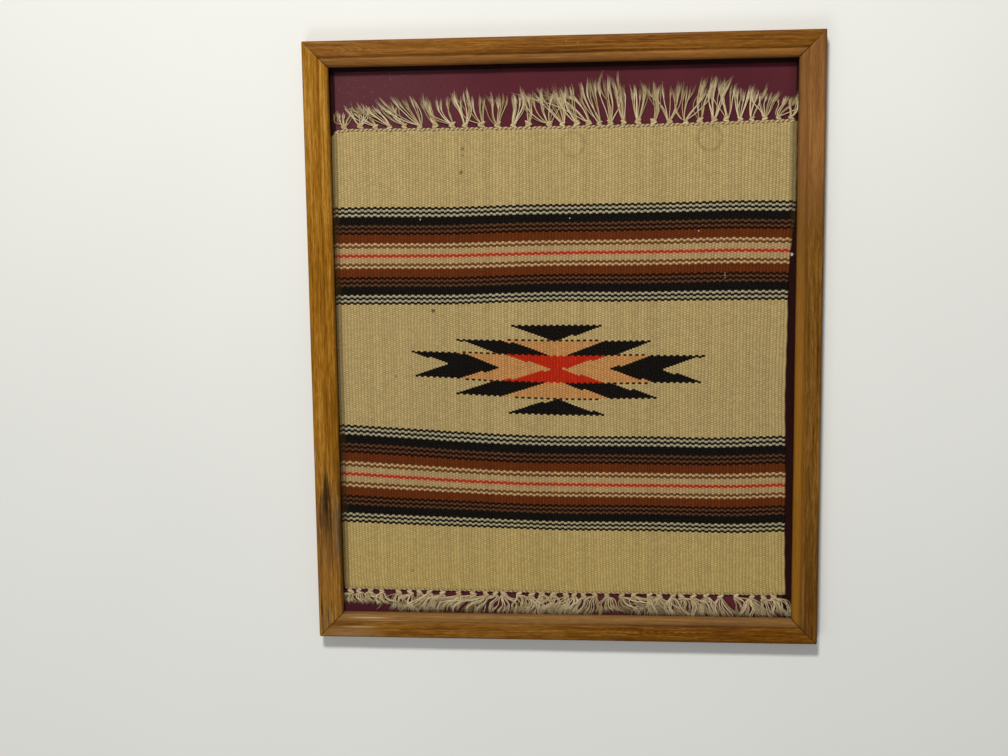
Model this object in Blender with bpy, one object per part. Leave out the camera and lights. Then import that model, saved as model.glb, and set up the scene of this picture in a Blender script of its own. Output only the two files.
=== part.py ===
"""A woven mat behind glass in a wooden picture frame, lying on its back.

X runs to the right, Y up the picture and Z out of its face, in metres.
The origin is the middle of the flat back.
"""

import math

import bmesh
import bpy
from mathutils import Vector

MM = 0.001
GAP = 0.3 * MM

# Frame
FRAME_WIDTH = 551 * MM
FRAME_HEIGHT = 655 * MM
FRAME_DEPTH = 19 * MM
FACE_WIDTH = 27.5 * MM
REBATE_WIDTH = 6.35 * MM
REBATE_DEPTH = 9.5 * MM

# Face of a rail, measured inwards from its outer edge
OUTER_ROUND = 3 * MM
OUTER_STEPS = 5
BAND_END = 17 * MM
QUIRK_WIDTH = 1.2 * MM
QUIRK_DEPTH = 1.9 * MM
BEAD_CREST = 21 * MM
BEAD_BASE = 14 * MM
BEAD_RISE = 4.6 * MM
BEAD_START_ANGLE = 125
BEAD_STEPS = 10

# Mitres: half of each gap along the rail, and the wider outer end of the two open ones
MITRE_GAP = 0.25 * MM
OPEN_MITRE_GAP = 0.6 * MM

# Glass and board, both cut 0.35 mm smaller than the rebate on each side
PANE_WIDTH = 508 * MM
PANE_HEIGHT = 612 * MM
GLASS_BOTTOM = 7 * MM
GLASS_THICKNESS = 2.2 * MM
BOARD_THICKNESS = 3.6 * MM

# Woven mat
CLOTH_BOTTOM = BOARD_THICKNESS + GAP
CLOTH_VALLEY = CLOTH_BOTTOM + 1.8 * MM
CLOTH_CREST = CLOTH_BOTTOM + 2.2 * MM
WARP_RIBS = 145
CLOTH_END = -278 * MM
CLOTH_HEAD = 235.5 * MM
HEAD_RISE_LEFT = 1.0 * MM
HEAD_RISE_RIGHT = 2.8 * MM
HALF_CLOTH = 240 * MM
ROUND_CORNER_FROM = -238 * MM
ROUND_CORNER_DROP = 0.06 / MM
ROUND_CORNER_STEPS = 3
# Height in the picture, left selvedge and right selvedge, in mm
SELVEDGES = (
    (-278, -247.0, 241.5),
    (-60, -244.3, 238.7),
    (100, -246.0, 241.8),
    (238, -244.5, 246.5),
)

# Fringe
STRIP_WIDTH = 2 * MM
STRIP_BOTTOM = CLOTH_BOTTOM
STRIP_TOP = CLOTH_BOTTOM + 2 * MM
LOCKS = 4
LOCK_PITCH = 0.75 * MM
LOCK_HALF_WIDTH = 0.85 * MM
LOCK_FILL = 0.41
LOCK_HALF_DEPTH = 0.38 * MM
TIP_WIDTH = 0.3
TIP_DEPTH = 0.6
SHORTEST_LOCK = 0.86
UPPER_LAYER = 6.15 * MM
LOWER_LAYER = 4.45 * MM
KNOT_MIDDLE = 5.3 * MM
# Rings of a knot: distance out from the strip, half width, lowest and highest point, in mm
KNOT_RINGS = (
    (0.0, 1.3, 3.9, 5.9),
    (0.8, 1.1, 4.2, 6.0),
    (2.4, 2.3, 4.0, 6.6),
    (4.0, 2.2, 4.0, 6.6),
)
KNOT_LIP_OUT = 5.4 * MM
KNOT_LIP_HALF_DEPTH = 0.6 * MM

# How a lock leaves its knot: fanning fast at first, and only partly turned to its tuft's lean
FAN_AT_KNOT = 1.5
LEAN_AT_KNOT = 0.35
LAYER_RATE = 1.5

TOP_SPREAD = 24
TOP_SEGMENTS = 4
# Place of the knot across the picture in mm, lean of its tuft in degrees, reach of its tips in mm
TOP_TUFTS = (
    (-234, 0, 18),
    (-216, -6, 27),
    (-200, -28, 24),
    (-185, -38, 25),
    (-168, -40, 27),
    (-151, -22, 31),
    (-135, -20, 31),
    (-117, -24, 31),
    (-102, -7, 38),
    (-84, -22, 32),
    (-68, -8, 34),
    (-50, 4, 33),
    (-34, -3, 36),
    (-13, -14, 40),
    (2, -14, 37),
    (16, -14, 43),
    (29, -12, 43),
    (41, -7, 49),
    (53, -2, 54),
    (67, -3, 45),
    (82, -1, 42),
    (99, 0, 43),
    (114, 8, 45),
    (131, 9, 36),
    (147, 5, 43),
    (161, 3, 42),
    (175, 3, 43),
    (188, 0, 36),
    (201, 7, 35),
    (214, 3, 30),
    (228, 9, 26),
    (242, 2, 22),
)

BOTTOM_TUFT_COUNT = 33
BOTTOM_FIRST = -236 * MM
BOTTOM_LAST = 234 * MM
BOTTOM_REACH = 18 * MM
BOTTOM_LEAN = 34
BOTTOM_SPREAD = 30
BOTTOM_SEGMENTS = 3
# The lean swings to and fro from tuft to tuft, its swing a little uneven
SWING = 1.1
UNEVENNESS = 0.6
UNEVEN_SWING = 2.3


def make_material(name, colour, roughness, transmission=0.0):
    material = bpy.data.materials.new(name)
    material.use_nodes = True
    shader = material.node_tree.nodes["Principled BSDF"]
    shader.inputs["Base Color"].default_value = (*colour, 1.0)
    shader.inputs["Roughness"].default_value = roughness
    shader.inputs["Metallic"].default_value = 0.0
    shader.inputs["Transmission Weight"].default_value = transmission
    return material


def make_object(name, bm, material, smooth_angle=None):
    bmesh.ops.recalc_face_normals(bm, faces=bm.faces)
    mesh = bpy.data.meshes.new(name)
    bm.to_mesh(mesh)
    bm.free()
    mesh.materials.append(material)
    if smooth_angle is not None:
        mesh.shade_smooth()
        mesh.set_sharp_from_angle(angle=math.radians(smooth_angle))
    part = bpy.data.objects.new(name, mesh)
    bpy.context.collection.objects.link(part)
    return part


def rail_profile():
    """Section of a rail: pairs of distance inwards from the outer edge and height."""
    points = [(0.0, 0.0)]
    for step in range(OUTER_STEPS + 1):
        angle = math.radians(180 - 90 * step / OUTER_STEPS)
        points.append((
            OUTER_ROUND + OUTER_ROUND * math.cos(angle),
            FRAME_DEPTH - OUTER_ROUND + OUTER_ROUND * math.sin(angle),
        ))
    quirk_end = BAND_END + QUIRK_WIDTH
    points.append((BAND_END, FRAME_DEPTH))
    points.append((BAND_END + QUIRK_WIDTH / 2, FRAME_DEPTH - QUIRK_DEPTH))
    start = math.radians(BEAD_START_ANGLE)
    outer_reach = (BEAD_CREST - quirk_end) / -math.cos(start)
    inner_reach = FACE_WIDTH - BEAD_CREST
    for step in range(BEAD_STEPS + 1):
        angle = start * (1 - step / BEAD_STEPS)
        reach = outer_reach if math.cos(angle) < 0 else inner_reach
        points.append((BEAD_CREST + reach * math.cos(angle), BEAD_BASE + BEAD_RISE * math.sin(angle)))
    points.append((FACE_WIDTH, REBATE_DEPTH))
    points.append((FACE_WIDTH - REBATE_WIDTH, REBATE_DEPTH))
    points.append((FACE_WIDTH - REBATE_WIDTH, 0.0))
    return points


def make_rail(name, length, outer_distance, turn, open_start, open_end, material):
    """A rail along its own X, its outer edge down, then turned about the picture's middle."""
    bm = bmesh.new()
    profile = rail_profile()
    rings = []
    for side, is_open in ((-1, open_start), (1, open_end)):
        ring = []
        for inwards, height in profile:
            opening = (OPEN_MITRE_GAP - MITRE_GAP) * (1 - inwards / FACE_WIDTH) if is_open else 0.0
            along = side * (length / 2 - inwards - MITRE_GAP - opening)
            ring.append(bm.verts.new((along, inwards - outer_distance, height)))
        rings.append(ring)
        bm.faces.new(ring)
    count = len(profile)
    for index in range(count):
        after = (index + 1) % count
        bm.faces.new((rings[0][index], rings[0][after], rings[1][after], rings[1][index]))
    rail = make_object(name, bm, material, smooth_angle=30)
    rail.rotation_euler = (0, 0, math.radians(turn))
    return rail


def make_frame(material):
    """Four rails, going round from the bottom one, whose two mitres have opened."""
    across = FRAME_HEIGHT / 2
    upright = FRAME_WIDTH / 2
    make_rail("frame_bottom", FRAME_WIDTH, across, 0, True, True, material)
    make_rail("frame_right", FRAME_HEIGHT, upright, 90, True, False, material)
    make_rail("frame_top", FRAME_WIDTH, across, 180, False, False, material)
    make_rail("frame_left", FRAME_HEIGHT, upright, -90, False, True, material)


def make_pane(name, bottom, thickness, material):
    bm = bmesh.new()
    bmesh.ops.create_cube(bm, size=1.0)
    bmesh.ops.scale(bm, vec=Vector((PANE_WIDTH, PANE_HEIGHT, thickness)), verts=bm.verts)
    pane = make_object(name, bm, material)
    pane.location = (0, 0, bottom + thickness / 2)
    return pane


def head_line(across):
    """Height in the picture of the cloth's upper end, which dips in the middle."""
    rise = HEAD_RISE_LEFT if across < 0 else HEAD_RISE_RIGHT
    past_corner = min(0.0, across - ROUND_CORNER_FROM)
    return CLOTH_HEAD + rise * (across / HALF_CLOTH) ** 2 - ROUND_CORNER_DROP * past_corner ** 2


def selvedges(height):
    """Left and right edge of the cloth at a height in the picture."""
    rows = [[value * MM for value in row] for row in SELVEDGES]
    for low, high in zip(rows, rows[1:]):
        if height <= high[0]:
            break
    part = (height - low[0]) / (high[0] - low[0])
    return tuple(low[side] + (high[side] - low[side]) * part for side in (1, 2))


def make_cloth(material):
    """The mat: a flat sheet whose front rises and falls over each warp rib."""
    bm = bmesh.new()
    heights = [row[0] * MM for row in SELVEDGES]
    front_rows = []
    back_rows = []
    for row, height in enumerate(heights):
        left, right = selvedges(height)
        front = []
        back = []
        for column in range(2 * WARP_RIBS + 1):
            across = left + (right - left) * column / (2 * WARP_RIBS)
            up = head_line(across) if row == len(heights) - 1 else height
            crest = column % 2 == 1
            front.append(bm.verts.new((across, up, CLOTH_CREST if crest else CLOTH_VALLEY)))
            if not crest:
                back.append(bm.verts.new((across, up, CLOTH_BOTTOM)))
        front_rows.append(front)
        back_rows.append(back)
    for rows in (front_rows, back_rows):
        for low, high in zip(rows, rows[1:]):
            for column in range(len(low) - 1):
                bm.faces.new((low[column], low[column + 1], high[column + 1], high[column]))
    for front, back in ((front_rows[0], back_rows[0]), (front_rows[-1], back_rows[-1])):
        for rib in range(WARP_RIBS):
            valley, crest, next_valley = front[2 * rib:2 * rib + 3]
            bm.faces.new((back[rib], crest, valley))
            bm.faces.new((back[rib], back[rib + 1], crest))
            bm.faces.new((back[rib + 1], next_valley, crest))
    for column in (0, -1):
        for row in range(len(heights) - 1):
            bm.faces.new((
                front_rows[row][column],
                front_rows[row + 1][column],
                back_rows[row + 1][column],
                back_rows[row][column],
            ))
    return make_object("textile", bm, material)


def top_tufts():
    return [(place * MM, lean, reach * MM) for place, lean, reach in TOP_TUFTS]


def bottom_tufts():
    """Evenly spaced tufts whose lean swings to and fro."""
    step = (BOTTOM_LAST - BOTTOM_FIRST) / (BOTTOM_TUFT_COUNT - 1)
    tufts = []
    for index in range(BOTTOM_TUFT_COUNT):
        lean = BOTTOM_LEAN * math.sin(SWING * index + UNEVENNESS * math.sin(UNEVEN_SWING * index))
        tufts.append((BOTTOM_FIRST + step * index, lean, BOTTOM_REACH))
    return tufts


class Fringe:
    """One fringe in a mesh of its own: a strip, then a knot and loose locks for each tuft."""

    def __init__(self, side, edge, tufts, spread, segments):
        self.bm = bmesh.new()
        self.side = side
        self.edge = edge
        self.tufts = tufts
        self.spread = spread
        self.segments = segments

    def vertex(self, across, out, height, base=None):
        """A point a distance out from the strip's own edge, which follows the cloth at base."""
        start = self.edge(across if base is None else base)
        return self.bm.verts.new((across, start + self.side * (GAP + STRIP_WIDTH + out), height))

    def faces(self, *corner_sets):
        for corners in corner_sets:
            self.bm.faces.new(corners)

    def build(self, left, right):
        root = KNOT_RINGS[0][1] * MM
        corner_step = (ROUND_CORNER_FROM - left) / ROUND_CORNER_STEPS
        stations = [(left + corner_step * step, None) for step in range(ROUND_CORNER_STEPS + 1)]
        for number, (place, _, _) in enumerate(self.tufts):
            stations += [(place - root, number), (place + root, None)]
        stations.append((right, None))
        columns = []
        for across, _ in stations:
            columns.append((
                self.vertex(across, -STRIP_WIDTH, STRIP_BOTTOM),
                self.vertex(across, -STRIP_WIDTH, STRIP_TOP),
                self.vertex(across, 0.0, STRIP_TOP),
                self.vertex(across, 0.0, STRIP_BOTTOM),
            ))
        self.faces(columns[0], columns[-1])
        for (_, number), near, far in zip(stations, columns, columns[1:]):
            self.faces(
                (near[0], near[1], far[1], far[0]),
                (near[1], near[2], far[2], far[1]),
                (near[3], near[0], far[0], far[3]),
            )
            if number is None:
                self.faces((near[2], near[3], far[3], far[2]))
            else:
                self.tuft(number, (near[3], near[2], far[2], far[3]))

    def tuft(self, number, root):
        """A knot, from its root on the strip to its lip, and the locks that leave the lip."""
        place, lean, reach = self.tufts[number]
        ring = root
        for out, half_width, low, high in KNOT_RINGS[1:]:
            after = tuple(
                self.vertex(place + sign * half_width * MM, out * MM, height * MM, place)
                for sign, height in ((-1, low), (-1, high), (1, high), (1, low))
            )
            for corner in range(4):
                other = (corner + 1) % 4
                self.faces((ring[corner], ring[other], after[other], after[corner]))
            ring = after
        lips = []
        for height in (KNOT_MIDDLE - KNOT_LIP_HALF_DEPTH, KNOT_MIDDLE + KNOT_LIP_HALF_DEPTH):
            lips.append([
                self.vertex(place + (station - LOCKS / 2) * LOCK_PITCH, KNOT_LIP_OUT, height, place)
                for station in range(LOCKS + 1)
            ])
        low_lip, high_lip = lips
        low_left, high_left, high_right, low_right = ring
        middle = LOCKS // 2
        for left, right, lip in ((low_left, low_right, low_lip), (high_left, high_right, high_lip)):
            for station in range(LOCKS):
                corner = left if station < middle else right
                self.faces((corner, lip[station], lip[station + 1]))
            self.faces((left, lip[middle], right))
        self.faces((low_left, high_left, high_lip[0], low_lip[0]))
        self.faces((low_right, high_right, high_lip[-1], low_lip[-1]))
        layer = UPPER_LAYER if number % 2 else LOWER_LAYER
        for lock in range(LOCKS):
            share = 2 * lock / (LOCKS - 1) - 1
            shortening = (1 - SHORTEST_LOCK) * ((5 * number + 3 * lock) % LOCKS) / (LOCKS - 1)
            start = (place + (lock - (LOCKS - 1) / 2) * LOCK_PITCH, KNOT_LIP_OUT)
            corners = (low_lip[lock], high_lip[lock], high_lip[lock + 1], low_lip[lock + 1])
            self.lock(corners, place, start, lean, share, reach * (1 - shortening), layer)

    def lock(self, ring, place, start, lean, share, reach, layer):
        """A lock of yarn that fans out of the knot, turns into its tuft's lean and thins to a tip."""
        across, out = start
        step = (reach - KNOT_LIP_OUT) / math.cos(math.radians(lean)) / self.segments
        room = LOCK_PITCH
        for segment in range(1, self.segments + 1):
            part = segment / self.segments
            fanning = math.radians(self.spread) * (FAN_AT_KNOT - part)
            angle = share * fanning / 2 + math.radians(lean) * min(1.0, LEAN_AT_KNOT + part)
            across += step * math.sin(angle)
            out += step * math.cos(angle)
            room += step * fanning / (LOCKS - 1)
            height = KNOT_MIDDLE + (layer - KNOT_MIDDLE) * min(1.0, LAYER_RATE * part)
            is_tip = segment == self.segments
            half_width = min(LOCK_HALF_WIDTH, LOCK_FILL * room) * (TIP_WIDTH if is_tip else 1.0)
            half_depth = LOCK_HALF_DEPTH * (TIP_DEPTH if is_tip else 1.0)
            after = tuple(
                self.vertex(
                    across + sign * half_width * math.cos(angle),
                    out - sign * half_width * math.sin(angle),
                    height + lift * half_depth,
                    place,
                )
                for sign, lift in ((-1, -1), (-1, 1), (1, 1), (1, -1))
            )
            for corner in range(4):
                other = (corner + 1) % 4
                self.faces((ring[corner], ring[other], after[other], after[corner]))
            ring = after
        self.faces(ring)


def make_fringe(name, side, edge, height, tufts, spread, segments, material):
    fringe = Fringe(side, edge, tufts, spread, segments)
    left, right = selvedges(height)
    fringe.build(left, right)
    return make_object(name, fringe.bm, material)


def main():
    for existing in list(bpy.data.objects):
        bpy.data.objects.remove(existing, do_unlink=True)
    oak = make_material("oak", (0.40, 0.20, 0.07), 0.45)
    clear = make_material("clear_glass", (0.95, 0.97, 0.96), 0.03, transmission=1.0)
    burgundy = make_material("burgundy_board", (0.09, 0.03, 0.045), 0.8)
    wool = make_material("woven_wool", (0.48, 0.37, 0.20), 0.95)
    cotton = make_material("warp_cotton", (0.60, 0.49, 0.31), 0.95)
    make_frame(oak)
    make_pane("glass", GLASS_BOTTOM, GLASS_THICKNESS, clear)
    make_pane("backing_board", 0.0, BOARD_THICKNESS, burgundy)
    make_cloth(wool)
    make_fringe(
        "fringe_top", 1, head_line, CLOTH_HEAD, top_tufts(), TOP_SPREAD, TOP_SEGMENTS, cotton,
    )
    make_fringe(
        "fringe_bottom", -1, lambda across: CLOTH_END, CLOTH_END, bottom_tufts(), BOTTOM_SPREAD,
        BOTTOM_SEGMENTS, cotton,
    )


main()
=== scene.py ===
"""Looks of a woven mat behind glass in an oak picture frame, lying on its back.

X runs to the right, Y up the picture and Z out of its face, in metres, as in the CAD frame.
"""

import math
import random

import bpy
import numpy as np
from mathutils import Matrix, Vector


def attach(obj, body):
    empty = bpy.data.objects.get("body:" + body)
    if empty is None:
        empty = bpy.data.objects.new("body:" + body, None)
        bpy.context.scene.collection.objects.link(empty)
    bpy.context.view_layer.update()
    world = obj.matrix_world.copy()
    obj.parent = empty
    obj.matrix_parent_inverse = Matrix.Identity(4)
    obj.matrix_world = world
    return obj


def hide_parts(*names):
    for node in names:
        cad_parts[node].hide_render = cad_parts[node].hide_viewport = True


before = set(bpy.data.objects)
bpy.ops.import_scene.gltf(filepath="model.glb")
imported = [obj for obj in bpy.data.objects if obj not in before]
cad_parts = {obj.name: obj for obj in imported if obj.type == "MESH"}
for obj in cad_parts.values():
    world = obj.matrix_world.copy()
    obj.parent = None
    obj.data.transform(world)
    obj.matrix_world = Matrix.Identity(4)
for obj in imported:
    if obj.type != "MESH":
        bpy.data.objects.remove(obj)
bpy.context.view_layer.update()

MM = 0.001

# Camera: place, the point on the frame's face that it looks at, roll in degrees, lens and sensor in mm
CAMERA_PLACE = (0.0718, 0.1532, 1.465)
CAMERA_AIM = (-0.0629, -0.0340, 0.019)
CAMERA_ROLL = 0.75
LENS = 48.27
SENSOR = 36.0

# Frame: the sizes of the CAD rails, with a shallower quirk
FRAME_WIDTH = 551 * MM
FRAME_HEIGHT = 655 * MM
FRAME_DEPTH = 19 * MM
FACE_WIDTH = 27.5 * MM
REBATE_WIDTH = 6.35 * MM
REBATE_DEPTH = 9.5 * MM
OUTER_ROUND = 3 * MM
BAND_END = 17 * MM
QUIRK_WIDTH = 1.2 * MM
QUIRK_DEPTH = 0.8 * MM
BEAD_CREST = 21 * MM
BEAD_BASE = 14 * MM
BEAD_RISE = 4.6 * MM
BEAD_START_ANGLE = 125
MITRE_GAP = 0.25 * MM
OPEN_MITRE_GAP = 0.6 * MM
RAIL_STATIONS = 90
ARRIS = 0.35 * MM
# Rounded end of a rail: distance from the end, and how much of the rounding is left there
END_ROUND = ((0.0, 1.0), (0.15 * MM, 0.35), (0.5 * MM, 0.0))
END_ROUNDING = 0.3 * MM
SIGHT_HALF_WIDTH = FRAME_WIDTH / 2 - FACE_WIDTH
SIGHT_HALF_HEIGHT = FRAME_HEIGHT / 2 - FACE_WIDTH

# Mat, in the space of the CAD sheet and over its edges
CLOTH_BOTTOM = 3.9 * MM
CLOTH_VALLEY = 5.55 * MM
RIB_RELIEF = 0.55 * MM
WARP_RIBS = 145
COLUMNS_PER_RIB = 4
CLOTH_ROWS = 150
PICKS = 420
CLOTH_HEAD = 232.1 * MM
HEAD_RISE_LEFT = 1.0 * MM
HEAD_RISE_RIGHT = 2.8 * MM
HALF_CLOTH = 240 * MM
ROUND_CORNER_FROM = -238 * MM
ROUND_CORNER_DROP = 0.06 / MM
# Place across and height of the mat's lower end, in mm
TAIL_LINE = ((-247, -274.0), (-150, -275.0), (0, -276.2), (120, -275.8), (242, -275.3))
# Height in the picture, left selvedge and right selvedge, in mm
SELVEDGES = (
    (-278, -247.5, 242.5),
    (-262, -249.3, 241.5),
    (-60, -249.3, 239.3),
    (60, -249.3, 240.5),
    (100, -249.3, 243.0),
    (135, -249.3, 247.5),
    (238, -249.0, 248.5),
)
# Pick, and the line in which it lies, as places across and heights in mm
PICK_LINES = (
    (60, ((-245, -197.6), (-160, -200.8), (-60, -203.6), (0, -205.3), (100, -205.3),
            (190, -206.8), (240, -204.4))),
    (103, ((-245, -142.6), (-200, -145.5), (-120, -150.3), (-40, -153.6),
            (60, -154.5), (190, -155.3), (240, -153))),
    (146, ((-245, -87.5), (-200, -90.4), (-120, -95.2), (-60, -98.6), (0, -100.4),
            (100, -100.2), (165, -102), (240, -99))),
    (206, ((-245, -17), (-165, -18.5), (-120, -20.5), (-70, -23.7), (0, -26.3), (240, -26.3))),
    (266, ((-245, 45.8), (-120, 45.2), (-60, 47.2), (0, 48), (60, 47.1), (130, 48), (240, 48.2))),
    (309, ((-245, 98.6), (-120, 98), (0, 100), (120, 100.2), (180, 101.1), (240, 100))),
    (352, ((-245, 151), (-200, 151.2), (-120, 150), (-40, 151.8), (60, 151.8),
            (130, 152.3), (180, 153.4), (240, 152.2))),
)
BAND_CENTRES = (103, 309)
BAND_REACH = 64
# Mat's rounded selvedge: how far out each step lies in mm, and its share of the drop to the back
SELVEDGE_ROUND = ((0.0, 1.0), (-0.35, 0.72), (-0.25, 0.34))
# Where the lines of picks begin on the left, their width in metres, and the steps that they are eased over
LINES_FROM = -0.249
LINES_SPAN = 0.492
EASED_OVER = 31

# Motif: its middle, picks in each row from the centre line outwards, and the lower second row's extra picks
MOTIF_RIB = 72.2
MOTIF_PICK = 206
FIRST_ROW = 12
SECOND_ROW = 12.5
THIRD_ROW = 15
LOWER_EXTRA = 1.5
DASHED_PICKS = 1.2
# Slopes in ribs for each pick, then half widths in ribs, what the outer rows lack and how far they start in
SLOPE = 1.16
SECOND_SLOPE_LESS = 0.08
RED_SLOPE_MORE = 0.12
RED_HALF_WIDTH = 1.5
PEACH_HALF_WIDTH = 17.4
BLACK_HALF_WIDTH = 34.2
DASHED_HALF_WIDTH = 44.5
SECOND_LESS = 0.8
THIRD_LESS = 2.9
SECOND_START = 15.1
THIRD_START = 15.5

# Fringe
KNOT_LENGTH = 3.9 * MM
KNOT_MIDDLE = 5.3 * MM
TWINE_MIDDLE = 5.6 * MM
TWINE_PITCH = 5.2 * MM
TWINE_STEP = 0.7 * MM
# Where the twined edges begin and end across the picture, in metres
TOP_TWINE = (-0.2445, 0.2462)
BOTTOM_TWINE = (-0.2465, 0.2410)
LAYERS = (4.75 * MM, 5.85 * MM)
FIBRE_LOWEST = 4.0 * MM
FIBRE_HIGHEST = 6.75 * MM
TOP_YARNS = 9
TOP_STEPS = 14
TOP_FIBRES = 8
BOTTOM_YARNS = 11
BOTTOM_STEPS = 18
BOTTOM_FIBRES = 6
# Knot's place in mm, its tuft's lean in degrees and reach in mm, then the fan's width and its bow in degrees
TOP_TUFTS = (
    (-234, -10, 21, 60, 0),
    (-216, -12, 29, 50, 14),
    (-200, -40, 26, 24, 14),
    (-185, -48, 27, 24, 16),
    (-168, -42, 29, 24, 10),
    (-151, -32, 35, 44, 8),
    (-135, -24, 33, 18, 4),
    (-117, -28, 35, 36, 8),
    (-102, -10, 41, 24, 0),
    (-84, -16, 34, 36, 8),
    (-68, -6, 37, 34, 2),
    (-50, 10, 36, 18, -6),
    (-34, -4, 39, 12, 0),
    (-13, -8, 42, 50, 6),
    (2, -16, 40, 26, -8),
    (16, -16, 45, 24, -10),
    (29, -20, 36, 22, -60),
    (41, -6, 50, 20, -10),
    (53, -4, 56, 22, 8),
    (67, -10, 46, 16, -4),
    (82, 2, 44, 30, -4),
    (99, 4, 45, 14, 4),
    (114, 10, 46, 36, 4),
    (131, 14, 39, 50, 2),
    (147, 12, 46, 16, 8),
    (161, 8, 46, 20, 6),
    (175, 2, 44, 30, 2),
    (188, 0, 38, 28, 4),
    (201, 12, 38, 26, 10),
    (214, 6, 32, 40, 6),
    (228, 20, 29, 44, 10),
    (242, 8, 25, 20, 6),
)
# Knot's place in mm, its tuft's sideways sweep and how far it turns back, in degrees, and its reach in mm
BOTTOM_TUFTS = (
    (-242, -14, 0, 16.7),
    (-231, 30, 10, 17.2),
    (-219, 32, 0, 17.7),
    (-205, 38, -10, 17.7),
    (-187, -8, 0, 25),
    (-173.5, 2, 0, 26),
    (-162, -6, 0, 26),
    (-151, -38, 10, 25),
    (-137, -50, 15, 25),
    (-118, -66, 20, 24),
    (-102, -68, 10, 24.5),
    (-88.5, -58, 0, 25),
    (-76.5, -48, -20, 25.5),
    (-67, 6, 0, 26),
    (-50.5, 34, -10, 26),
    (-37, -12, 0, 26),
    (-25, 42, -10, 25),
    (-12.5, -34, 20, 24),
    (2, -48, 10, 24),
    (11, -22, 0, 25.5),
    (21, -30, 0, 26),
    (34, -16, 5, 26.5),
    (47.5, 24, -10, 22),
    (64, 62, -20, 24),
    (78, 66, -20, 24.5),
    (94, 52, -25, 25),
    (106, -36, 0, 25.5),
    (119, 30, 0, 25),
    (130, 38, -5, 26),
    (143, 22, 0, 26),
    (157, 6, 0, 26),
    (171.5, 14, 0, 26),
    (189, 60, -10, 24.5),
    (206, -12, 30, 25.5),
    (218, 46, -5, 25.5),
    (230, 54, 0, 23),
)


def srgb(red, green, blue):
    """A colour as seen on a screen, 0 to 255, as the linear one that a shader takes."""
    linear = []
    for value in (red, green, blue):
        share = value / 255
        linear.append(share / 12.92 if share <= 0.04045 else ((share + 0.055) / 1.055) ** 2.4)
    return (*linear, 1.0)


# Camera, floor and light


def make_camera():
    place = Vector(CAMERA_PLACE)
    forward = (Vector(CAMERA_AIM) - place).normalized()
    roll = math.radians(CAMERA_ROLL)
    right = forward.cross(Vector((math.sin(roll), math.cos(roll), 0))).normalized()
    up = right.cross(forward)
    data = bpy.data.cameras.new("camera")
    data.lens = LENS
    data.sensor_width = SENSOR
    camera = bpy.data.objects.new("camera", data)
    turn = Matrix((right, up, -forward)).transposed()
    camera.matrix_world = Matrix.Translation(place) @ turn.to_4x4()
    bpy.context.collection.objects.link(camera)
    bpy.context.scene.camera = camera


def make_light(name, place, aim, size, watts, colour):
    """A soft box of size, in metres, at place and facing aim."""
    data = bpy.data.lights.new(name, "AREA")
    data.shape = "RECTANGLE"
    data.size, data.size_y = size
    data.energy = watts
    data.color = colour
    light = bpy.data.objects.new(name, data)
    light.location = place
    light.rotation_euler = (Vector(aim) - Vector(place)).to_track_quat("-Z", "Y").to_euler()
    bpy.context.collection.objects.link(light)


def make_studio():
    world = bpy.data.worlds.new("studio")
    world.use_nodes = True
    background = world.node_tree.nodes["Background"]
    background.inputs["Color"].default_value = (0.95, 0.97, 1.0, 1.0)
    background.inputs["Strength"].default_value = 0.20
    bpy.context.scene.world = world
    bpy.context.scene.view_settings.view_transform = "Standard"
    make_light("key", (-0.25, 1.75, 1.95), (0, 0, 0), (0.40, 0.30), 50, (1.0, 0.985, 0.95))
    make_light("fill", (-0.7, -1.5, 1.9), (0, 0, 0), (1.4, 1.0), 10.5, (0.97, 0.98, 1.0))


# Meshes


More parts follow.
